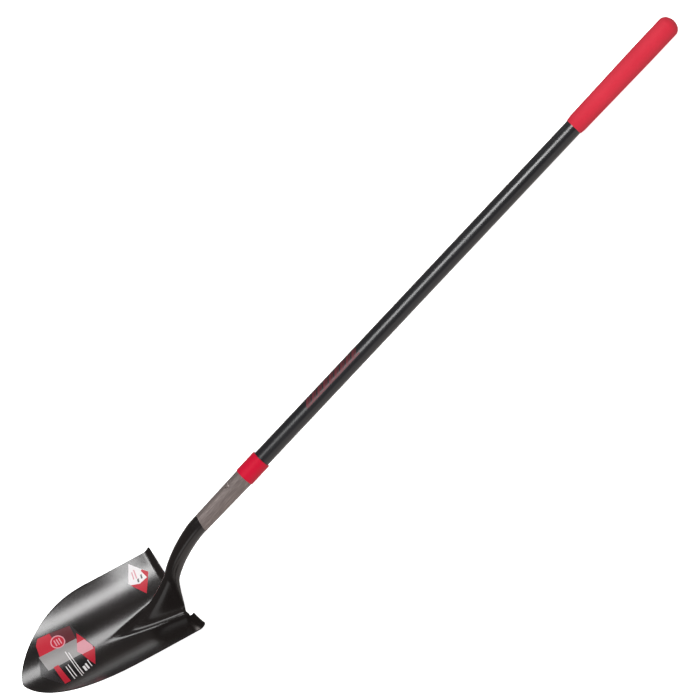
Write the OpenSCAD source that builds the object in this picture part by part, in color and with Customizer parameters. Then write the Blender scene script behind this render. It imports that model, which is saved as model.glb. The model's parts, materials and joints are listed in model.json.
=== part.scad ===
// Round point shovel: pressed steel blade and socket on a long fibreglass handle.
// It lies face up on a level surface, resting on the heel of the blade and the end of the grip.
// +X runs from the point to the grip, +Y to the left shoulder, +Z up out of the blade's hollow face.
// The origin is the middle of the footprint, on that surface.

/* [Blade] */
// Length from the point to the fold of the steps, along the middle
blade_l = 290; // [275:1:300]
// Width across the shoulders
blade_w = 226; // [210:1:240]
// Depth of the dish across the full width
dish_h = 34; // [26:1:36]
// Length of the part that narrows to the point
tip_l = 170; // [150:1:180]
// Thickness of the steel sheet
sheet_t = 1.9; // [1.6:0.1:2.4]
// Angle between the blade and the handle at the fold
lift_deg = 25; // [20:1:28]
// Extra angle that the middle line gains by the point
tip_curl_deg = 3; // [1:1:8]
// Distance from the handle's axis down to the middle of the fold
drop_h = 87; // [80:1:92]

/* [Steps] */
// Length of sheet in each turned step
step_l = 16; // [12:1:20]
// Angle that the steps turn forward
step_turn_deg = 66; // [40:1:75]
// Radius of the half-round relief at the root of each step
relief_r = 6.5; // [4:0.5:7]
// Radius of the outer corners of the steps
corner_r = 4; // [2:0.5:8]

/* [Frog and neck] */
// Length of the raised frog, from its point to the fold
frog_l = 134; // [120:1:145]
// Height of the frog at the fold
frog_h = 70; // [60:1:74]
// Half-width of the frog's ridge at the fold
frog_half_w = 20; // [18:1:22]
// Half-width of the neck's root at the fold
root_half_w = 38; // [36:1:40]
// Length of the neck along the handle
neck_l = 129; // [120:1:135]
// Distance that the middle of the neck leans towards the blade
neck_lean = 8.3; // [0:0.1:12]

/* [Socket] */
// Outer diameter where the socket leaves the neck
throat_d = 30.8; // [30.4:0.1:31.2]
// Outer diameter at the mouth
mouth_d = 33.8; // [33.6:0.1:34]
// Length of the tapered socket
socket_l = 122.5; // [118:0.5:130]
// Angle left open by the seam along the back
seam_deg = 8; // [4:1:14]

/* [Handle] */
// Outer diameter of the tube
handle_d = 30; // [29.6:0.1:30]
// Wall of the tube
handle_wall = 3.2; // [2.5:0.1:4]
// Whole length of the tube
handle_l = 1132.5; // [1000:0.5:1220]
// Length of the solid core in the lower end
core_l = 230; // [180:5:300]
// Length of the plug in the upper end
plug_l = 40; // [30:1:60]

/* [Collar] */
// Outer diameter
collar_d = 35.6; // [35.4:0.1:37]
// Length
collar_l = 42; // [36:1:50]
// Length that overlaps the socket
collar_lap = 8; // [6:1:12]

/* [Grip] */
// Length of the sleeve
grip_l = 237; // [220:1:270]
// Diameter at the lower end
grip_low_d = 34; // [33:0.1:36]
// Diameter of the straight upper stretch
grip_top_d = 37.4; // [36.5:0.1:39]
// Length of the straight upper stretch
grip_straight_l = 60; // [40:1:80]

/* [Rivet] */
// Diameter of the shank
rivet_d = 6; // [5:0.5:7]
// Diameter of the heads
rivet_head_d = 10; // [9:0.5:12]
// Distance from the socket's mouth
rivet_back = 36.5; // [25:0.5:45]

/* [Labels] */
// Thickness of the films
film_t = 0.2; // [0.1:0.05:0.3]
// Distance from the point to the near end of the blade's label
blade_label_at = 33; // [30:1:45]
// Length of the blade's label
blade_label_l = 102; // [90:1:105]
// Length of the printed band on the handle
shaft_label_l = 132; // [100:1:160]

/* [Hidden] */

// ---- Blade surface: middle of the sheet, in the handle's frame ----
// In the handle's frame X is the handle's axis, pointing to the grip, and Z points to the front.
// The fold of the steps crosses the middle line at X = 0.

curl_r = blade_l / (tip_curl_deg * PI / 180);

// Angle of the middle line, s mm from the fold towards the point
function slope(s) = lift_deg + tip_curl_deg * s / blade_l;

// Middle line of the blade, as [x, z]
function spine(s) = [
    -curl_r * (sin(slope(s)) - sin(lift_deg)),
    -drop_h + curl_r * (cos(lift_deg) - cos(slope(s)))
];

// Half-width of the outline, u mm from the point
outline_power = 2 / 3;
function half_w(u) = blade_w / 2 * (u >= tip_l ? 1 : pow(1 - pow(1 - u / tip_l, 2), outline_power));

// Height of the frog along its ridge, and the half-width of the ridge
frog_power = 2.4;
ridge_power = 0.7;
bell_power = 2.4;
ridge_least = 0.02;
function frog_part(s) = max(0, 1 - s / frog_l);
function ridge_h(s) = frog_h * pow(frog_part(s), frog_power);
function ridge_w(s) = frog_half_w * pow(max(ridge_least, frog_part(s)), ridge_power);
function bell(q) = exp(-pow(abs(q), bell_power));

// Height of the sheet above the middle line's level, y mm from the middle
function rise(s, y) = dish_h * pow(2 * y / blade_w, 2) + ridge_h(s) * bell(y / ridge_w(s));

// A point h mm above the middle line at s, and y mm to the side
function above(s, y, h) = [
    spine(s)[0] + h * sin(slope(s)),
    y,
    spine(s)[1] + h * cos(slope(s))
];
function blade_at(s, y) = above(s, y, rise(s, y));
// column c: lateral place at full width; the outline narrows it near the point
function blade_col(s, c) = blade_at(s, c * half_w(blade_l - s) / (blade_w / 2));

// Step: past the fold the sheet turns forward on an arc, e mm along the sheet
step_r = step_l / (step_turn_deg * PI / 180);
function step_at(e, y) = let (
        turn = e / step_r * 180 / PI,
        back = step_r * sin(turn),
        up = step_r * (1 - cos(turn)),
        foot = blade_at(0, y)
    ) [
        foot[0] + back * cos(lift_deg) + up * sin(lift_deg),
        y,
        foot[2] - back * sin(lift_deg) + up * cos(lift_deg)
    ];

// Neck: each line of the sheet leaves the blade along its surface and enters the socket along the axis
throat_r = (throat_d - sheet_t) / 2;
mouth_r = (mouth_d - sheet_t) / 2;
wrap_deg = 180 - seam_deg / 2;
function socket_at(x, c) = let (
        r = throat_r + (mouth_r - throat_r) * max(0, x - neck_l) / socket_l,
        a = wrap_deg * c / root_half_w
    ) [x, r * sin(a), r * cos(a)];

tiny = 0.01;
leave_pull = 46;
enter_pull = 75.6;
waist_part = 0.432;
waist_at = 0.378;
function smooth(t) = let (q = min(1, max(0, t))) q * q * (3 - 2 * q);
function squeeze(t) = 1 - (1 - waist_part) * smooth(t / waist_at);
function neck_at(t, c) = let (
        k = c * squeeze(t),
        p0 = blade_at(0, k),
        along = (p0 - blade_at(tiny, k)) / tiny,
        t0 = leave_pull * along / norm(along),
        p1 = socket_at(neck_l, c),
        t1 = [enter_pull, 0, 0]
    )
    p0 * (2 * t * t * t - 3 * t * t + 1) + t0 * (t * t * t - 2 * t * t + t)
    + p1 * (3 * t * t - 2 * t * t * t) + t1 * (t * t * t - t * t)
    - [neck_lean * pow(4 * t * (1 - t), 2), 0, 0];

// ---- Grid over the whole sheet: r runs from the point (0) to the mouth of the socket ----
relief_mid = root_half_w + relief_r;
slot_short = 3;
root_l = step_l - slot_short;
neck_end = blade_l + neck_l;
mouth_end = neck_end + socket_l;

function in_tongue(c) = abs(c) <= root_half_w + tiny;
function in_relief(c) = abs(c) > root_half_w + tiny && abs(c) < root_half_w + 2 * relief_r - tiny;
function bite(c) = in_relief(c) ? sqrt(max(0, 1 - pow((abs(c) - relief_mid) / relief_r, 2))) * relief_r / root_l : 0;

// Share of a step's length that the round of its outer corner takes away at column c
corner_from = blade_w / 2 - corner_r;
function corner_cut(c) = let (d = max(0, abs(c) - corner_from))
    (corner_r - sqrt(max(0, corner_r * corner_r - d * d))) / step_l;

function sheet_mid(r, c) =
    r <= blade_l ? blade_col(blade_l - r, c)
    : in_tongue(c) ? (r <= neck_end ? neck_at((r - blade_l) / neck_l, c) : socket_at(neck_l + r - neck_end, c))
    : step_at((r - blade_l) * (1 - bite(c)) * (1 - corner_cut(c)), c);

function unit(v) = v / norm(v);
step_eps = 0.05;
function sheet_normal(r, c) = let (
        r0 = max(tip_start, r - step_eps),
        r1 = r + step_eps,
        dr = sheet_mid(r1, c) - sheet_mid(r0, c),
        c1 = min(c + step_eps, blade_w / 2),
        c0 = max(c - step_eps, -blade_w / 2),
        dc = sheet_mid(r, c1) - sheet_mid(r, c0)
    ) unit(cross(dr, dc));

function sheet_pt(r, c, off) = sheet_mid(r, c) + off * sheet_normal(r, c);

// Rows and columns
tip_start = 0.3;
tip_rows = 14;
tip_crowding = 1.6;
body_rows = 14;
root_rows = 4;
neck_rows = 18;
socket_rows = 6;
step_rows = 1;
tongue_cols = 12;
relief_cols = 5;
shoulder_cols = 6;
corner_cols = 4;

rows = concat(
    [for (i = [0:tip_rows - 1]) tip_start + (tip_l - tip_start) * pow(i / tip_rows, tip_crowding)],
    [for (i = [0:body_rows - 1]) tip_l + (blade_l - tip_l) * i / body_rows],
    [for (i = [0:root_rows - 1]) blade_l + root_l * i / root_rows],
    [for (i = [0:neck_rows - 1]) blade_l + root_l + (neck_l - root_l) * i / neck_rows],
    [for (i = [0:socket_rows]) neck_end + socket_l * i / socket_rows]
);
half_cols = concat(
    [for (i = [1:tongue_cols]) root_half_w * i / tongue_cols],
    [for (i = [1:relief_cols]) root_half_w + 2 * relief_r * i / relief_cols],
    [for (i = [1:shoulder_cols])
        root_half_w + 2 * relief_r + (corner_from - root_half_w - 2 * relief_r) * i / shoulder_cols],
    [for (i = [1:corner_cols]) corner_from + corner_r * sin(90 * i / corner_cols)]
);
n_half = len(half_cols);
cols = concat([for (i = [n_half - 1:-1:0]) -half_cols[i]], [0], half_cols);
n_rows = len(rows);
n_cols = len(cols);
split_row = tip_rows + body_rows + root_rows;

// A cell (i, j) lies between rows i and i + 1 and columns j and j + 1
function cell(i, j) =
    i >= 0 && j >= 0 && i < n_rows - 1 && j < n_cols - 1
    && (i < split_row || abs(j + 0.5 - n_half) < tongue_cols
        || (i < split_row + step_rows && abs(j + 0.5 - n_half) > tongue_cols + relief_cols));

function row_of(i, c) = i <= split_row || in_tongue(c) ? rows[i]
    : blade_l + root_l + (step_l - root_l) * min(1, (i - split_row) / step_rows);

function id(i, j, side) = (side * n_rows + i) * n_cols + j;
function quad(a, b, c, d) = [[a, b, c], [a, c, d]];
function flat(list) = [for (l = list) each l];

module blade_sheet() {
    pts = [for (side = [0, 1]) for (i = [0:n_rows - 1]) for (j = [0:n_cols - 1])
        sheet_pt(row_of(i, cols[j]), cols[j], sheet_t * (side - 0.5))];
    faces = [for (i = [0:n_rows - 2]) for (j = [0:n_cols - 2]) if (cell(i, j)) each flat([
        quad(id(i, j, 1), id(i, j + 1, 1), id(i + 1, j + 1, 1), id(i + 1, j, 1)),
        quad(id(i, j, 0), id(i + 1, j, 0), id(i + 1, j + 1, 0), id(i, j + 1, 0)),
        cell(i - 1, j) ? [] : quad(id(i, j, 0), id(i, j + 1, 0), id(i, j + 1, 1), id(i, j, 1)),
        cell(i + 1, j) ? [] : quad(id(i + 1, j, 1), id(i + 1, j + 1, 1), id(i + 1, j + 1, 0), id(i + 1, j, 0)),
        cell(i, j - 1) ? [] : quad(id(i, j, 1), id(i + 1, j, 1), id(i + 1, j, 0), id(i, j, 0)),
        cell(i, j + 1) ? [] : quad(id(i, j + 1, 0), id(i + 1, j + 1, 0), id(i + 1, j + 1, 1), id(i, j + 1, 1))
    ])];
    polyhedron(pts, faces, convexity = 10);
}

// A film that follows the blade: rows and columns of the same surface, lifted off it
function film_pt(u, y, off) = let (
        s = blade_l - u,
        p = blade_at(s, y),
        du = blade_at(s - film_eps, y) - p,
        dy = blade_at(s, y + film_eps) - p
    ) p + off * unit(cross(du, dy));

module blade_film(table, y_mid) {
    u0 = table[0][0];
    u1 = table[len(table) - 1][0];
    n = film_cells;
    lift = [sheet_t / 2 + film_gap, sheet_t / 2 + film_gap + film_t];
    pts = [for (side = [0, 1]) for (i = [0:n]) for (j = [0:n])
        let (u = u0 + (u1 - u0) * i / n) film_pt(u, y_mid + lookup(u, table) * (2 * j / n - 1), lift[side])];
    function fid(i, j, side) = (side * (n + 1) + i) * (n + 1) + j;
    faces = [for (i = [0:n - 1]) for (j = [0:n - 1]) each flat([
        quad(fid(i, j, 1), fid(i, j + 1, 1), fid(i + 1, j + 1, 1), fid(i + 1, j, 1)),
        quad(fid(i, j, 0), fid(i + 1, j, 0), fid(i + 1, j + 1, 0), fid(i, j + 1, 0)),
        i > 0 ? [] : quad(fid(i, j, 0), fid(i, j + 1, 0), fid(i, j + 1, 1), fid(i, j, 1)),
        i < n - 1 ? [] : quad(fid(n, j, 1), fid(n, j + 1, 1), fid(n, j + 1, 0), fid(n, j, 0)),
        j > 0 ? [] : quad(fid(i, j, 1), fid(i + 1, j, 1), fid(i + 1, j, 0), fid(i, j, 0)),
        j < n - 1 ? [] : quad(fid(i, n, 0), fid(i + 1, n, 0), fid(i + 1, n, 1), fid(i, n, 1))
    ])];
    polyhedron(pts, faces, convexity = 6);
}
film_eps = 0.05;
film_gap = 0.15;
film_cells = 12;
point_half = 1.5;

// Outlines of the films: [distance from the point, half-width], and the side place of their middles
low_part = 0.28;
low_half = 62;
high_part = 0.85;
high_half = 52;
blade_label_mid = 4;
blade_label_table = [
    [blade_label_at, point_half],
    [blade_label_at + low_part * blade_label_l, low_half],
    [blade_label_at + high_part * blade_label_l, high_half],
    [blade_label_at + blade_label_l, point_half]
];
shoulder_label_at = blade_l - 47;
shoulder_label_half_l = 19;
shoulder_label_half = 29;
shoulder_label_mid = 78;
shoulder_label_table = [
    [shoulder_label_at, point_half],
    [shoulder_label_at + shoulder_label_half_l, shoulder_label_half],
    [shoulder_label_at + 2 * shoulder_label_half_l, point_half]
];

// ---- Places along the handle's axis ----
mouth_x = neck_l + socket_l;
collar_x = mouth_x - collar_lap;
handle_x = neck_l;
handle_end_x = handle_x + handle_l;
grip_end_wall = 12;
grip_x = handle_end_x + grip_end_wall - grip_l;
rivet_x = mouth_x - rivet_back;
shaft_label_gap = 115.5;
shaft_label_x = collar_x + collar_l + shaft_label_gap;
fit_gap = 0.05;
facets = 96;
round_steps = 8;

// Outer radius of the socket at x
function socket_r(x) = throat_r + (mouth_r - throat_r) * (x - neck_l) / socket_l + sheet_t / 2;
function socket_bore_r(x) = socket_r(x) - sheet_t;

// Turns a profile of [distance along the handle, radius] about the handle's axis
module turned(profile) {
    rotate([0, 90, 0])
        rotate_extrude($fn = facets)
            polygon([for (p = profile) [p[1], p[0]]]);
}
function arc(cx, cr, r, a0, a1, n) = [for (i = [0:n]) let (a = a0 + (a1 - a0) * i / n) [cx + r * cos(a), cr + r * sin(a)]];

module rivet_hole(r) {
    translate([rivet_x, 0, -mouth_d]) cylinder(h = 2 * mouth_d, r = r, $fn = facets);
}

// ---- The sub-parts ----
module blade_and_socket() {
    color("dimgray")
        difference() {
            blade_sheet();
            rivet_hole(rivet_d / 2 + fit_gap);
        }
}

taper_clear = 0.35;
module handle_tube() {
    r = handle_d / 2;
    bore = r - handle_wall;
    foot_r = socket_bore_r(handle_x) - taper_clear;
    color("black")
        difference() {
            turned([
                [handle_x, bore], [handle_x, foot_r], [mouth_x, r],
                [handle_end_x, r], [handle_end_x, bore]
            ]);
            rivet_hole(rivet_d / 2 + fit_gap);
        }
}

module core_plug() {
    r = handle_d / 2 - handle_wall - fit_gap;
    color("burlywood")
        difference() {
            turned([[handle_x, 0], [handle_x, r], [handle_x + core_l, r], [handle_x + core_l, 0]]);
            rivet_hole(rivet_d / 2 + fit_gap);
        }
}

module end_plug() {
    r = handle_d / 2 - handle_wall - fit_gap;
    color("black")
        turned([[handle_end_x - plug_l, 0], [handle_end_x - plug_l, r], [handle_end_x, r], [handle_end_x, 0]]);
}

collar_round = 1.2;
module collar() {
    r = collar_d / 2;
    end_x = collar_x + collar_l;
    lap_r = mouth_d / 2 + fit_gap;
    inner_r = handle_d / 2 + fit_gap;
    color("crimson")
        turned(concat(
            [[collar_x, lap_r], [collar_x, r - collar_round / 2], [collar_x + collar_round / 2, r]],
            arc(end_x - collar_round, r - collar_round, collar_round, 90, 0, round_steps),
            [[end_x, inner_r], [mouth_x + fit_gap, inner_r], [mouth_x + fit_gap, lap_r]]
        ));
}

grip_lip_l = 9;
grip_lip = 0.8;
grip_cap = 15;
cap_steps = 2 * round_steps;
cap_pts = [for (i = [0:cap_steps]) let (a = 90 * i / cap_steps)
    [grip_x + grip_l - grip_cap * (1 - sin(a)), grip_top_d / 2 * cos(a)]];
module end_grip() {
    inner_r = handle_d / 2 + fit_gap;
    color("crimson")
        turned(concat(
            [[grip_x, inner_r], [grip_x, inner_r + grip_lip], [grip_x + grip_lip_l, grip_low_d / 2]],
            [[cap_pts[0][0] - grip_straight_l, grip_top_d / 2]],
            cap_pts,
            [[handle_end_x + fit_gap, 0], [handle_end_x + fit_gap, inner_r]]
        ));
}

// A low dome whose underside is cut to the round of the socket
head_h = 1.7;
head_skirt = 1.2;
module rivet_head(side, base_r) {
    head_r = rivet_head_d / 2;
    ball_r = (head_r * head_r + head_h * head_h) / (2 * head_h);
    difference() {
        translate([rivet_x, 0, side * (base_r - head_skirt)])
            rotate([side > 0 ? 0 : 180, 0, 0])
                rotate_extrude($fn = facets)
                    polygon(concat(
                        [[0, 0], [head_r, 0], [head_r, head_skirt]],
                        [for (i = [1:round_steps]) let (a = asin(head_r / ball_r) * (1 - i / round_steps))
                            [ball_r * sin(a), head_skirt + head_h - ball_r * (1 - cos(a))]]
                    ));
        translate([rivet_x - rivet_head_d, 0, 0])
            rotate([0, 90, 0]) cylinder(h = 2 * rivet_head_d, r = base_r, $fn = facets);
    }
}

head_gap = 0.1;
shank_sink = 0.8;
module socket_rivet() {
    r = socket_r(rivet_x) + head_gap;
    color("silver") {
        rivet_head(1, r);
        rivet_head(-1, r);
        translate([rivet_x, 0, -r - shank_sink])
            cylinder(h = 2 * (r + shank_sink), r = rivet_d / 2, $fn = facets);
    }
}

module blade_label() {
    color("firebrick") blade_film(blade_label_table, blade_label_mid);
}

module shoulder_label() {
    color("white") blade_film(shoulder_label_table, shoulder_label_mid);
}

// Angle that the print covers, and how far its middle is turned towards the right
shaft_label_deg = 74;
shaft_label_turn = 18;
module shaft_label() {
    inner_r = handle_d / 2 + fit_gap;
    color("darkred")
        translate([shaft_label_x, 0, 0])
            rotate([0, 90, 0])
                rotate([0, 0, 180 + shaft_label_turn - shaft_label_deg / 2])
                    rotate_extrude(angle = shaft_label_deg, $fn = facets)
                        polygon([[inner_r, 0], [inner_r + film_t, 0],
                                 [inner_r + film_t, shaft_label_l], [inner_r, shaft_label_l]]);
}

// ---- Lying pose: the heel of the blade and the end of the grip touch the floor ----
heel_pts = [for (i = [tip_rows:split_row]) for (j = [0:n_half]) sheet_pt(row_of(i, cols[j]), cols[j], -sheet_t / 2)];
pitch_deg = max([for (p = heel_pts) min([for (q = cap_pts) atan2(-q[1] - p[2], q[0] - p[0])])]);
floor_z = min([for (p = heel_pts) -p[0] * sin(pitch_deg) + p[2] * cos(pitch_deg)]);
tip_pt = sheet_pt(tip_start, 0, sheet_t / 2);
tip_x = tip_pt[0] * cos(pitch_deg) + tip_pt[2] * sin(pitch_deg);
far_x = (grip_x + grip_l) * cos(pitch_deg);

module lying() {
    translate([-(tip_x + far_x) / 2, 0, -floor_z])
        rotate([0, pitch_deg, 0])
            children();
}

lying() blade_and_socket();
lying() handle_tube();
lying() core_plug();
lying() end_plug();
lying() collar();
lying() end_grip();
lying() socket_rivet();
lying() blade_label();
lying() shoulder_label();
lying() shaft_label();
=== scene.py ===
"""Round point shovel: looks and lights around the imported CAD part."""

import json
import math

import bmesh
import bpy
import numpy as np
from mathutils import Matrix, Vector
from mathutils.bvhtree import BVHTree


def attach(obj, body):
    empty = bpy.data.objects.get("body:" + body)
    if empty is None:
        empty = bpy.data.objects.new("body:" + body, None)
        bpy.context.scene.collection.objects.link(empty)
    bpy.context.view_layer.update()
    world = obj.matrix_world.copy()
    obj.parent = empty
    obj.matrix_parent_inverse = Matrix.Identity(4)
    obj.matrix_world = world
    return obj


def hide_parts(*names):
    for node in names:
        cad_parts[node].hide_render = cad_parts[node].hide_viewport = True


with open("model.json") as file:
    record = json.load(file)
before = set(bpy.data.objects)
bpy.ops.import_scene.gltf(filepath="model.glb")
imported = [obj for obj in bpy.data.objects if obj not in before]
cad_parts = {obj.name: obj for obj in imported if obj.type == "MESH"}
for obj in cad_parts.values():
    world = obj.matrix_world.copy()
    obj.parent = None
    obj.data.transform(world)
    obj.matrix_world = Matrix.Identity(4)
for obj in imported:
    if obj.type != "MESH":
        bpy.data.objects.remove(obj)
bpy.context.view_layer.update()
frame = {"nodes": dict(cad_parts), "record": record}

MM = 0.001
MICRON = 0.000001
NODES = frame["nodes"]
MOUNTS = {m["name"]: m for m in frame["record"]["mounts"]}


# ---- Placing objects ----
def add_object(name, data):
    obj = bpy.data.objects.new(name, data)
    bpy.context.scene.collection.objects.link(obj)
    return obj


def aim(obj, right, up, back, place):
    """Puts a camera or lamp there, looking along -back, with its own sides along right and up."""
    turned = Matrix((right, up, back)).transposed()
    obj.matrix_world = Matrix.Translation(place) @ turned.to_4x4()


# ---- Camera ----
CAM_AZIMUTH = 10.69    # degrees, where 0 looks along +Y with +X to the right
CAM_ELEVATION = 42.62
CAM_ROLL = -56.28
CAM_DISTANCE = 6.69
CAM_AIM = Vector((0.0120, 0.0008, 0.07985))
CAM_LENS = 209.47
CAM_SENSOR = 36.0
CAM_REACH = 100.0


def add_camera():
    """A long lens at the viewing angle, turned so that the tool runs up to the right."""
    a, e, r = (math.radians(x) for x in (CAM_AZIMUTH, CAM_ELEVATION, CAM_ROLL))
    back = Vector((math.sin(a) * math.cos(e), -math.cos(a) * math.cos(e), math.sin(e)))
    right = Vector((math.cos(a), math.sin(a), 0.0))
    up = back.cross(right)
    turned_right = right * math.cos(r) + up * math.sin(r)
    turned_up = up * math.cos(r) - right * math.sin(r)
    data = bpy.data.cameras.new("camera")
    data.sensor_width = CAM_SENSOR
    data.lens = CAM_LENS
    data.clip_end = CAM_REACH
    cam = add_object("camera", data)
    aim(cam, turned_right, turned_up, back, CAM_AIM + back * CAM_DISTANCE)
    bpy.context.scene.camera = cam


add_camera()


# ---- The handle's axis, from the mount on the grip's end ----
AXIS = Vector(MOUNTS["grip_end"]["axis"]).normalized()
AXIS_POINT = Vector(MOUNTS["grip_end"]["pos_m"])
PITCH = math.atan2(-AXIS.z, AXIS.x)
LEFT = Vector((0.0, 1.0, 0.0))
FRONT = AXIS.cross(LEFT)


def coords(node):
    co = np.zeros(len(NODES[node].data.vertices) * 3, np.float32)
    NODES[node].data.vertices.foreach_get("co", co)
    return co.reshape(-1, 3).astype(float)


def span(node):
    """Where that node starts and ends along the handle's axis, in metres from the mount."""
    along = (coords(node) - np.array(AXIS_POINT)) @ np.array(AXIS)
    return float(along.min()), float(along.max())


def outer_radius(node):
    co = coords(node) - np.array(AXIS_POINT)
    return float(np.hypot(co @ np.array(LEFT), co @ np.array(FRONT)).max())


# ---- Node helpers ----
NOISE_LOW = 0.3    # most of a noise's values lie between these
NOISE_HIGH = 0.7


class Nodes:
    """A material's node tree, with short calls for the nodes used here."""

    def __init__(self, name):
        self.mat = bpy.data.materials.new(name)
        self.mat.use_nodes = True
        self.tree = self.mat.node_tree
        self.shader = self.tree.nodes["Principled BSDF"]

    def node(self, kind, inputs=(), **settings):
        n = self.tree.nodes.new(kind)
        for k, v in settings.items():
            setattr(n, k, v)
        for key, value in dict(inputs).items():
            self.put(n.inputs[key], value)
        return n

    def put(self, socket, value):
        if isinstance(value, bpy.types.NodeSocket):
            self.tree.links.new(value, socket)
        else:
            socket.default_value = value

    def set(self, **values):
        """Shader inputs by name, with _ for a space."""
        for k, v in values.items():
            self.put(self.shader.inputs[k.replace("_", " ")], v)

    def place(self, scale=(1, 1, 1), turn=(0, 0, 0)):
        """Place on the object in metres, turned and scaled."""
        coord = self.node("ShaderNodeTexCoord").outputs["Object"]
        inputs = {"Vector": coord, "Scale": scale, "Rotation": turn}
        return self.node("ShaderNodeMapping", inputs).outputs["Vector"]

    def place_along_handle(self, along, across):
        """Place on the object, with those scales along and across the handle."""
        return self.place((along, across, across), (0, PITCH, 0))

    def distance_along(self, direction):
        """How far the place on the object lies along that direction."""
        n = self.node("ShaderNodeVectorMath", operation="DOT_PRODUCT")
        self.put(n.inputs[0], self.node("ShaderNodeTexCoord").outputs["Object"])
        self.put(n.inputs[1], direction)
        return n.outputs["Value"]

    def noise(self, vector, scale, detail=3.0, rough=0.5):
        inputs = {"Vector": vector, "Scale": scale, "Detail": detail, "Roughness": rough}
        return self.node("ShaderNodeTexNoise", inputs).outputs["Fac"]

    def math(self, op, a, b):
        n = self.node("ShaderNodeMath", operation=op)
        self.put(n.inputs[0], a)
        self.put(n.inputs[1], b)
        return n.outputs[0]

    def weigh(self, a, b, share):
        """a and b added up, b with that share of the whole."""
        return self.math("ADD", self.math("MULTIPLY", a, 1.0 - share), self.math("MULTIPLY", b, share))

    def ramp(self, value, to_low=0.0, to_high=1.0, low=NOISE_LOW, high=NOISE_HIGH):
        """value from low..high to to_low..to_high, held at the ends."""
        inputs = {"Value": value, "From Min": low, "From Max": high, "To Min": to_low, "To Max": to_high}
        return self.node("ShaderNodeMapRange", inputs).outputs["Result"]

    def mix(self, factor, a, b, kind="RGBA"):
        """a where factor is 0 and b where it is 1: colours, or numbers where kind is FLOAT."""
        inputs = {"Factor": factor, "A": a, "B": b}
        return self.node("ShaderNodeMix", inputs, data_type=kind).outputs["Result"]

    def bump(self, height, strength, distance):
        n = self.node("ShaderNodeBump", {"Height": height, "Strength": strength, "Distance": distance})
        self.put(self.shader.inputs["Normal"], n.outputs["Normal"])


def rgb(r, g, b):
    return (r, g, b, 1.0)


# ---- Colours ----
LACQUER = rgb(0.0068, 0.0058, 0.0058)
LACQUER_PALE = rgb(0.0110, 0.0086, 0.0080)
BARE_STEEL = rgb(0.225, 0.188, 0.178)
BARE_STEEL_DARK = rgb(0.105, 0.085, 0.080)
FIBREGLASS = rgb(0.0075, 0.0078, 0.0092)
FIBREGLASS_PALE = rgb(0.0150, 0.0155, 0.0180)
COLLAR_RED = rgb(0.46, 0.003, 0.024)
COLLAR_RED_PALE = rgb(0.51, 0.006, 0.032)
GRIP_RED = rgb(0.50, 0.020, 0.040)
GRIP_RED_PALE = rgb(0.55, 0.028, 0.050)
PLUG_BLACK = rgb(0.012, 0.012, 0.013)
PLUG_BLACK_PALE = rgb(0.02, 0.02, 0.02)
WOOD_DARK = rgb(0.55, 0.38, 0.20)
WOOD_PALE = rgb(0.72, 0.55, 0.34)
FLOOR_WHITE = rgb(0.90, 0.90, 0.90)
GLOW_WHITE = rgb(1.0, 1.0, 1.0)
WARM_WHITE = rgb(1.0, 0.93, 0.89)
INK_SHADE = 0.86   # how dark an ink's darker specks are


# ---- Materials: a noise's scale is in cells per metre ----
MOUTH = span("blade_and_socket")[1]
BARE_FROM = -0.1123                   # where the paint ends, from the socket's mouth
BARE_SLANT = 0.29                     # how far that line runs along the socket, per unit across it
BARE_ACROSS = LEFT * 0.68 + FRONT * 0.73
PAINT_WOBBLE = 0.0008
PAINT_FADE = 0.0006


def bare_band(s, flat):
    """1 on the bare band at the socket's mouth and 0 on the paint, with a slanted, slightly wavy edge."""
    slanted = AXIS - BARE_ACROSS * BARE_SLANT
    line = slanted.dot(AXIS_POINT + AXIS * (MOUTH + BARE_FROM))
    wobble = s.math("MULTIPLY", s.noise(flat, scale=260.0, detail=2.0), PAINT_WOBBLE)
    where = s.math("ADD", s.distance_along(slanted), wobble)
    return s.ramp(where, low=line, high=line + PAINT_FADE)


def steel():
    """Black lacquer over pressed steel, and the bare brushed band below the collar."""
    s = Nodes("lacquered_steel")
    flat = s.place()
    soft = s.noise(flat, scale=9.0, detail=4.0)
    grain = s.noise(flat, scale=2600.0, detail=2.0)
    peel = s.noise(flat, scale=420.0, detail=2.0)
    streak = s.noise(s.place_along_handle(60.0, 900.0), scale=1.0, detail=5.0, rough=0.65)
    bare = bare_band(s, flat)
    metal = s.mix(s.ramp(streak), BARE_STEEL_DARK, BARE_STEEL)
    paint = s.mix(s.ramp(soft), LACQUER, LACQUER_PALE)
    shine = s.ramp(soft, 0.16, 0.21, low=0.25, high=0.75)
    dull = s.ramp(streak, 0.55, 0.40)
    s.set(Base_Color=s.mix(bare, paint, metal))
    s.set(Metallic=s.math("MULTIPLY", bare, 0.35))
    s.set(Roughness=s.mix(bare, shine, dull, "FLOAT"))
    brushed = s.math("MULTIPLY", s.math("MULTIPLY", streak, bare), 2.0)
    s.bump(s.math("ADD", s.weigh(peel, grain, 0.4), brushed), strength=0.25, distance=60 * MICRON)
    return s.mat


def fibreglass():
    """Glossy black pultruded tube with faint lengthwise strands."""
    s = Nodes("black_fibreglass")
    strand = s.noise(s.place_along_handle(14.0, 1500.0), scale=1.0, detail=4.0, rough=0.6)
    soft = s.noise(s.place(), scale=12.0)
    s.set(Base_Color=s.mix(s.ramp(strand, low=0.35, high=0.75), FIBREGLASS, FIBREGLASS_PALE))
    s.set(Roughness=s.ramp(soft, 0.24, 0.33))
    s.bump(strand, strength=0.20, distance=50 * MICRON)
    return s.mat


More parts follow.
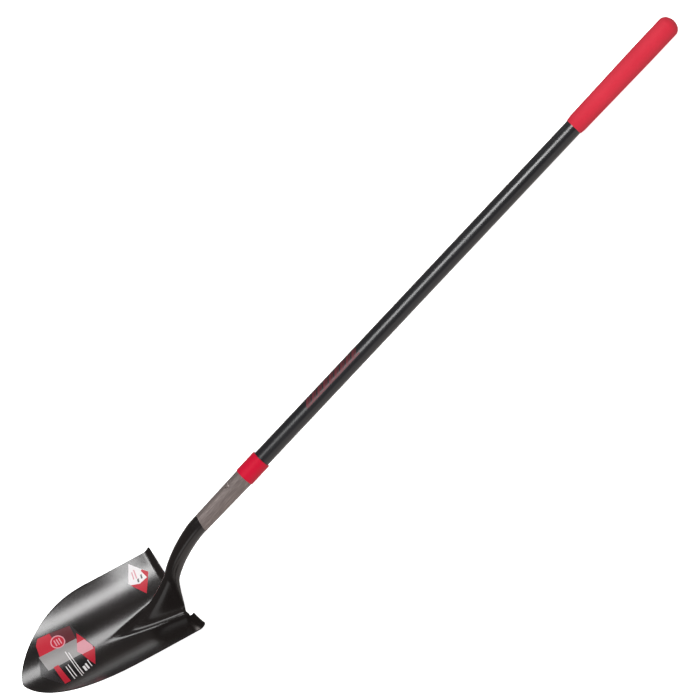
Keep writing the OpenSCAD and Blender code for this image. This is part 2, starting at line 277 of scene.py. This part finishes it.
def plastic(name, colour, pale, rough, grain, depth):
    """Moulded plastic with a fine grain and slightly uneven colour."""
    s = Nodes(name)
    soft = s.noise(s.place(), scale=14.0)
    fine = s.noise(s.place(), scale=grain)
    s.set(Base_Color=s.mix(s.ramp(s.weigh(soft, fine, 0.4), low=0.35, high=0.65), colour, pale))
    s.set(Roughness=s.ramp(fine, rough - 0.05, rough + 0.05), Specular_IOR_Level=0.2)
    s.bump(fine, strength=0.35, distance=depth)
    return s.mat


def rivet_metal():
    """Plain steel, slightly hammered."""
    s = Nodes("rivet_steel")
    dent = s.noise(s.place(), scale=500.0, detail=2.0)
    s.set(Base_Color=s.mix(dent, BARE_STEEL_DARK, BARE_STEEL), Metallic=0.4)
    s.set(Roughness=s.ramp(dent, 0.22, 0.34))
    s.bump(dent, strength=0.4, distance=100 * MICRON)
    return s.mat


def wood():
    """Pale wood of the core, grain along the handle."""
    s = Nodes("core_wood")
    grain = s.noise(s.place_along_handle(10.0, 260.0), scale=1.0, detail=5.0)
    s.set(Base_Color=s.mix(grain, WOOD_DARK, WOOD_PALE), Roughness=0.7)
    s.bump(grain, strength=0.3, distance=200 * MICRON)
    return s.mat


def ink(name, colour, rough=0.35):
    """Printed ink under a thin film."""
    s = Nodes(name)
    fine = s.noise(s.place(), scale=1800.0, detail=2.0)
    s.set(Base_Color=s.mix(fine, rgb(*(c * INK_SHADE for c in colour[:3])), colour))
    s.set(Roughness=s.ramp(fine, rough - 0.06, rough + 0.06), Specular_IOR_Level=0.3)
    s.bump(fine, strength=0.1, distance=20 * MICRON)
    return s.mat


STEEL = steel()
INK_RED = ink("red_ink", rgb(0.46, 0.004, 0.022))
INK_DARK_RED = ink("dark_red_ink", rgb(0.085, 0.004, 0.010))
INK_WHITE = ink("white_ink", rgb(0.75, 0.73, 0.74))
# Pink print on both labels; in the blade label's chevron it is also a painted highlight, standing in for
# a reflection whitening the red.
PINK_INK_AND_PAINTED_HIGHLIGHT = ink("pink_ink_and_painted_highlight", rgb(0.62, 0.27, 0.32))
# Painted reflection: a lighter grey band across the blade label's middle, standing in for a light
# reflected in the glossy label.
PAINTED_REFLECTION_INK = ink("painted_reflection_ink", rgb(0.25, 0.24, 0.24), rough=0.28)
INK_BLACK = ink("black_ink", rgb(0.006, 0.005, 0.006), rough=0.22)
CLEAR_FILM = ink("clear_film", rgb(0.020, 0.018, 0.019), rough=0.25)
SHAFT_INK = ink("shaft_ink", rgb(0.10, 0.021, 0.027), rough=0.4)

LOOKS = {
    "handle_tube": fibreglass(),
    "core_plug": wood(),
    "end_plug": plastic("black_plastic", PLUG_BLACK, PLUG_BLACK_PALE, 0.5, 900.0, 40 * MICRON),
    "collar": plastic("red_plastic", COLLAR_RED, COLLAR_RED_PALE, 0.45, 900.0, 40 * MICRON),
    "end_grip": plastic("red_vinyl", GRIP_RED, GRIP_RED_PALE, 0.62, 1400.0, 80 * MICRON),
    "socket_rivet": rivet_metal(),
}


def dress(obj, *materials):
    obj.data.materials.clear()
    for m in materials:
        obj.data.materials.append(m)


for node, look in LOOKS.items():
    dress(NODES[node], look)


# ---- Mesh helper ----
def smooth(mesh):
    mesh.polygons.foreach_set("use_smooth", [True] * len(mesh.polygons))


# ---- Blade, neck and socket ----
WELD = 0.00001
SHARP = math.radians(48)         # a sharper edge than this is a cut edge of the sheet
RIM_CREASE = 0.32
STEEL_LEVELS = 2
QUAD_BEND = math.radians(30)     # two triangles make a quad up to this bend between them
QUAD_SKEW = math.radians(60)     # and this much out of square


def steel_piece():
    """The pressed sheet: quads from the CAD faces, smoothed, with its cut edges only slightly eased."""
    bm = bmesh.new()
    bm.from_mesh(NODES["blade_and_socket"].data)
    bmesh.ops.remove_doubles(bm, verts=bm.verts, dist=WELD)
    bmesh.ops.join_triangles(
        bm, faces=bm.faces, angle_face_threshold=QUAD_BEND, angle_shape_threshold=QUAD_SKEW
    )
    crease = bm.edges.layers.float.new("crease_edge")
    for e in bm.edges:
        if len(e.link_faces) == 2 and e.calc_face_angle() > SHARP:
            e[crease] = RIM_CREASE
    mesh = bpy.data.meshes.new("pressed_steel")
    bm.to_mesh(mesh)
    bm.free()
    smooth(mesh)
    obj = add_object("pressed_steel", mesh)
    dress(obj, STEEL)
    m = obj.modifiers.new("smooth", "SUBSURF")
    m.levels = m.render_levels = STEEL_LEVELS
    return obj


steel_obj = steel_piece()
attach(steel_obj, "root")
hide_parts("blade_and_socket")


# ---- Labels: flat outlines in millimetres, cut into cells and laid on the surface under them ----
CELL = 4.0
SNAP = 0.02         # a corner this near a cut lies on it
FILM_LIFT = 0.10
LAYER = 0.05
DISC_SIDES = 40


def disc(x, y, radius):
    turns = (2 * math.pi * k / DISC_SIDES for k in range(DISC_SIDES))
    return [(x + radius * math.cos(a), y + radius * math.sin(a)) for a in turns]


def bar(x0, x1, y0, y1, lean=0.0):
    """A straight bar from y0 to y1, its far end shifted by lean."""
    return [(x0, y0), (x1, y0), (x1 + lean, y1), (x0 + lean, y1)]


def cut_outline(outline, cell):
    """The convex outline as a flat mesh with no cell longer than that."""
    flat = bmesh.new()
    flat.faces.new([flat.verts.new((x, y, 0.0)) for x, y in outline])
    for axis in (0, 1):
        normal = [float(axis == k) for k in range(3)]
        low = min(p[axis] for p in outline)
        high = max(p[axis] for p in outline)
        for k in range(math.floor(low / cell) + 1, math.ceil(high / cell)):
            everything = flat.verts[:] + flat.edges[:] + flat.faces[:]
            at = [n * k * cell for n in normal]
            bmesh.ops.bisect_plane(flat, geom=everything, dist=SNAP, plane_co=at, plane_no=normal)
    flat.verts.index_update()
    return flat


def art_object(name, layers, spot, cell=CELL):
    """Patches of film, each with a skirt down to the surface.

    layers: (material, height step, convex outline); spot gives the place of x, y at a lift.
    """
    materials = []
    verts = []
    faces = []
    kinds = []
    for material, step, outline in layers:
        if material not in materials:
            materials.append(material)
        flat = cut_outline(outline, cell)
        top = (FILM_LIFT + LAYER * step) * MM
        start = len(verts)
        verts += [spot(v.co.x, v.co.y, top) for v in flat.verts]
        sheet = [[start + v.index for v in f.verts] for f in flat.faces]
        for edge in (e for e in flat.edges if e.is_boundary):
            loop = edge.link_loops[0]
            ends = (loop.vert, loop.link_loop_next.vert)
            sheet.append([len(verts) + k for k in (1, 0, 2, 3)])
            verts += [verts[start + v.index] for v in ends]
            verts += [spot(v.co.x, v.co.y, 0.0) for v in ends]
        faces += sheet
        kinds += [materials.index(material)] * len(sheet)
        flat.free()
    mesh = bpy.data.meshes.new(name)
    mesh.from_pydata(verts, [], faces)
    obj = add_object(name, mesh)
    dress(obj, *materials)
    mesh.polygons.foreach_set("material_index", kinds)
    smooth(mesh)
    return obj


STEEL_TREE = BVHTree.FromObject(steel_obj, bpy.context.evaluated_depsgraph_get())
FILM_END = 0.0015   # this much of a CAD film's length stands for its end
CAST_FROM = 0.08    # height over the blade from which a place on it is looked for


def blade_spot(node):
    """Places on the blade: x from the film's end nearest the point, y across the tool."""
    co = coords(node)
    low = Vector(co[co[:, 0] < co[:, 0].min() + FILM_END].mean(axis=0))
    high = Vector(co[co[:, 0] > co[:, 0].max() - FILM_END].mean(axis=0))
    along = high - low
    along.y = 0.0
    along.normalize()
    out = along.cross(LEFT)

    def spot(x, y, lift):
        above = low + along * x * MM + out * CAST_FROM
        above.y = y * MM
        hit, normal, _, _ = STEEL_TREE.ray_cast(above, -out)
        if normal.dot(out) < 0:
            normal = -normal
        return hit + normal * lift

    return spot


BLADE_ART = [
    (CLEAR_FILM, 0, [(0, 0), (27, -56), (86, -42), (103, 3), (88, 66), (28, 71)]),
    # Painted reflection: this grey band stands in for a light reflected across the label's middle.
    (PAINTED_REFLECTION_INK, 1, [(16, 2), (86, 2), (84, 37), (14, 37)]),
    (INK_RED, 1, [(16, 37), (50, 37), (50, 68), (28, 69), (20, 59)]),
    (INK_DARK_RED, 1, [(50, 37), (84, 37), (86, 64), (50, 68)]),
    (PINK_INK_AND_PAINTED_HIGHLIGHT, 2, disc(55, 47, 12.5)),
    (INK_RED, 3, disc(55, 47, 10.5)),
    *[(PINK_INK_AND_PAINTED_HIGHLIGHT, 4, bar(x, x + 2, 41, 53)) for x in (49.5, 54, 58.5)],
    (INK_BLACK, 1, [(27, -54), (85, -40), (100, 0), (100, 2), (20, 2)]),
    (INK_RED, 2, [(25.5, -50), (36, -50), (35, 4), (26, 4)]),
    (INK_WHITE, 2, bar(43, 44.5, -50, -8)),
    (INK_WHITE, 2, bar(48, 49.5, -46, -6)),
    (INK_WHITE, 2, bar(56, 57.4, -52, 23)),
    (INK_WHITE, 2, bar(60, 61.4, -48, 18)),
    (INK_WHITE, 2, bar(66, 70, -44, -28)),
    (INK_WHITE, 2, bar(72, 75, -42, -24)),
    (INK_WHITE, 2, bar(79, 80.5, -40, -18)),
    (INK_RED, 3, [(89.5, 46), (74, 11.5), (81, 8), (97, 25)]),
    # Painted highlight: the chevron's pink middle stands in for a reflection band whitening its red.
    (PINK_INK_AND_PAINTED_HIGHLIGHT, 4, [(81, 27), (74, 11.5), (78, 0), (99, 0), (101, 8), (95, 28)]),
    (INK_RED, 3, [(78, 0), (86, -39), (103, 3), (99, 4)]),
]
SHOULDER_ART = [
    (INK_WHITE, 0, [(-2, 80), (16, 50), (38, 82), (15.5, 108)]),
    (INK_RED, 1, [(0, 76), (16, 50), (38, 82), (31, 75), (15, 71)]),
    (INK_RED, 1, [(31, 75), (38, 82), (30, 91), (27.5, 89)]),
    (PINK_INK_AND_PAINTED_HIGHLIGHT, 1, bar(9, 11, 82, 94, lean=3)),
    (PINK_INK_AND_PAINTED_HIGHLIGHT, 1, bar(14, 16, 81, 96, lean=3)),
    (INK_BLACK, 1, bar(13, 16, 74, 80, lean=2)),
    (INK_BLACK, 1, bar(21, 24, 77, 84, lean=2)),
]

blade_art = art_object("blade_label_art", BLADE_ART, blade_spot("blade_label"))
shoulder_art = art_object("shoulder_label_art", SHOULDER_ART, blade_spot("shoulder_label"))
for piece, node in ((blade_art, "blade_label"), (shoulder_art, "shoulder_label")):
    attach(piece, "root")
    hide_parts(node)


# ---- Print on the handle: slanted bars over a thin line, in millimetres ----
TUBE_R = outer_radius("handle_tube")
PRINT_FROM, PRINT_TO = span("shaft_label")
PRINT_LOW = math.radians(-42)   # the print's lower edge, as an angle round the tube from its front
PRINT_BARS = 9
PRINT_H = 15.5
PRINT_LEAN = 9.0
PRINT_CELL = 1.5
LINE_H = 3.0
LINE_SHORT = 6.0                # how much sooner the thin line ends
WIDE_BAR = 0.45                 # the wide bar's width, as a share of the pitch
NARROW_BAR = (0.60, 0.80)       # the narrow bar's two edges, the same way
NARROW_LEAN = 0.8               # its lean, as a share of the wide bar's
NARROW_LOW = 4.0
NARROW_HIGH = 13.5


def print_spot(x, y, lift):
    """x along the handle from the print's end, y round it from its lower edge."""
    a = PRINT_LOW + y * MM / TUBE_R
    side = FRONT * math.cos(a) + LEFT * math.sin(a)
    return AXIS_POINT + AXIS * (PRINT_FROM + x * MM) + side * (TUBE_R + lift)


def print_layers():
    """The thin line, and a wide and a narrow bar for each step along it."""
    length = (PRINT_TO - PRINT_FROM) / MM
    pitch = (length - PRINT_LEAN) / PRINT_BARS
    layers = [(SHAFT_INK, 0, bar(0, length - LINE_SHORT, 0, LINE_H))]
    for k in range(PRINT_BARS):
        x = k * pitch
        near, far = (x + share * pitch for share in NARROW_BAR)
        wide = bar(x, x + WIDE_BAR * pitch, LINE_H, PRINT_H, PRINT_LEAN)
        narrow = bar(near, far, NARROW_LOW, NARROW_HIGH, NARROW_LEAN * PRINT_LEAN)
        layers += [(SHAFT_INK, 1, wide), (SHAFT_INK, 1, narrow)]
    return layers


shaft_art = art_object("shaft_print", print_layers(), print_spot, PRINT_CELL)
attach(shaft_art, "root")
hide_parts("shaft_label")


# ---- Floor and background ----
FLOOR_HALF = 60.0
FLOOR_DROP = 0.0004
FLOOR_GLOW = 1.0
GROUND_TOP = -0.08    # height of a direction up to which the background is pale ground
AIR_FROM = 0.14       # and from which it is dim air
GROUND_GLOW = 1.0
AIR_GLOW = 0.15


def add_floor():
    """A pale floor that the tool doesn't reflect."""
    bm = bmesh.new()
    bmesh.ops.create_grid(bm, x_segments=2, y_segments=2, size=FLOOR_HALF)
    mesh = bpy.data.meshes.new("floor")
    bm.to_mesh(mesh)
    bm.free()
    s = Nodes("pale_floor")
    s.set(Base_Color=FLOOR_WHITE, Roughness=0.9, Specular_IOR_Level=0.1)
    s.set(Emission_Color=GLOW_WHITE, Emission_Strength=FLOOR_GLOW)
    floor = add_object("floor", mesh)
    dress(floor, s.mat)
    floor.location.z = -FLOOR_DROP
    floor.visible_glossy = False
    floor.visible_diffuse = False


def add_world():
    """What the tool reflects: a pale ground, falling off to dim air a little above the horizon."""
    world = bpy.data.worlds.new("studio")
    bpy.context.scene.world = world
    world.use_nodes = True
    tree = world.node_tree
    coord = tree.nodes.new("ShaderNodeTexCoord")
    split = tree.nodes.new("ShaderNodeSeparateXYZ")
    tree.links.new(coord.outputs["Generated"], split.inputs[0])
    ramp = tree.nodes.new("ShaderNodeMapRange")
    tree.links.new(split.outputs["Z"], ramp.inputs["Value"])
    ramp.inputs["From Min"].default_value = GROUND_TOP
    ramp.inputs["From Max"].default_value = AIR_FROM
    ramp.inputs["To Min"].default_value = GROUND_GLOW
    ramp.inputs["To Max"].default_value = AIR_GLOW
    tree.nodes["Background"].inputs["Color"].default_value = WARM_WHITE
    tree.links.new(ramp.outputs["Result"], tree.nodes["Background"].inputs["Strength"])


# ---- Lights ----
BLADE_SPOT = Vector((-0.60, 0.0, 0.06))
SHOULDER_SPOT = Vector((-0.525, 0.104, 0.06))
BLADE_PANELS_OFF = 4.0    # distance from the blade
# Panels that the blade reflects: name, bearing and elevation, length along the tool, width, radiance
BLADE_PANELS = (
    ("side_panel", (90.0, 53.0), 1.1, 0.6, 17.0),
    ("back_panel", (40.0, 37.0), 0.8, 0.9, 11.0),
    ("low_panel", (207.0, 24.0), 2.4, 1.4, 1.0),
)
SHOULDER_WAY = (111.0, 51.0)
SHOULDER_OFF = 0.3
SHOULDER_PANEL = (0.05, 15.0)    # side, radiance
TOP_WAY = (190.0, 69.0)
TOP_WIDTH = 1.2
# Panels over the handle: place on the handle's axis, length, radiance, distance
HANDLE_PANELS = ((-0.13, 0.59, 14.0, 3.0), (-0.57, 0.29, 9.5, 3.0), (-0.86, 0.29, 1.8, 3.0))
TOP_PANEL = (-0.13, 0.59, 6.0, 3.2)
SUN_WAY = (185.0, 66.0)
SUN_STRENGTH = 3.75
SUN_SPREAD = 40.0


def bearing(azimuth, elevation):
    """Direction at that bearing from +Y towards +X, and that angle above the floor."""
    a, e = math.radians(azimuth), math.radians(elevation)
    return Vector((math.sin(a) * math.cos(e), math.cos(a) * math.cos(e), math.sin(e)))


def add_sun():
    """The even light on the floor and the matt pieces; the panels make the reflections."""
    data = bpy.data.lights.new("overhead", "SUN")
    data.energy = SUN_STRENGTH
    data.angle = math.radians(SUN_SPREAD)
    lamp = add_object("overhead", data)
    lamp.visible_glossy = False
    lamp.rotation_mode = "QUATERNION"
    lamp.rotation_quaternion = bearing(*SUN_WAY).to_track_quat("Z", "Y")


def add_panel(name, spot, direction, distance, along, across, radiance):
    """A panel that only shows as a reflection, facing the spot, its long side along the tool."""
    data = bpy.data.lights.new(name, "AREA")
    data.shape = "RECTANGLE"
    data.size = along
    data.size_y = across
    data.energy = radiance * math.pi * along * across
    lamp = add_object(name, data)
    lamp.visible_camera = False
    lamp.visible_diffuse = False
    side = (AXIS - direction * AXIS.dot(direction)).normalized()
    aim(lamp, side, direction.cross(side), direction, spot + direction * distance)
    return lamp


def add_top_panel(name, place, length, radiance, distance):
    """A wide panel over that place on the handle."""
    spot = AXIS_POINT + AXIS * place
    return add_panel(name, spot, bearing(*TOP_WAY), distance, length, TOP_WIDTH, radiance)


def group(name, *objects):
    """A collection of those objects, for a lamp that lights nothing else."""
    collection = bpy.data.collections.new(name)
    for obj in objects:
        collection.objects.link(obj)
    return collection


def add_handle_panels():
    """The streak along the handle, from panels that the blade doesn't reflect."""
    handle = group("handle", NODES["handle_tube"], NODES["socket_rivet"], shaft_art)
    for row in HANDLE_PANELS:
        add_top_panel("handle_panel", *row).light_linking.receiver_collection = handle


def add_blade_panels():
    """The broad highlights in the dish, and the bright left shoulder, from a panel on the steel alone."""
    for name, way, length, width, radiance in BLADE_PANELS:
        add_panel(name, BLADE_SPOT, bearing(*way), BLADE_PANELS_OFF, length, width, radiance)
    side, radiance = SHOULDER_PANEL
    shoulder = add_panel(
        "shoulder_panel", SHOULDER_SPOT, bearing(*SHOULDER_WAY), SHOULDER_OFF, side, side, radiance
    )
    shoulder.light_linking.receiver_collection = group("steel", steel_obj)


add_floor()
add_world()
add_sun()
add_blade_panels()
add_top_panel("top_panel", *TOP_PANEL)
add_handle_panels()
bpy.context.scene.view_settings.view_transform = "Standard"
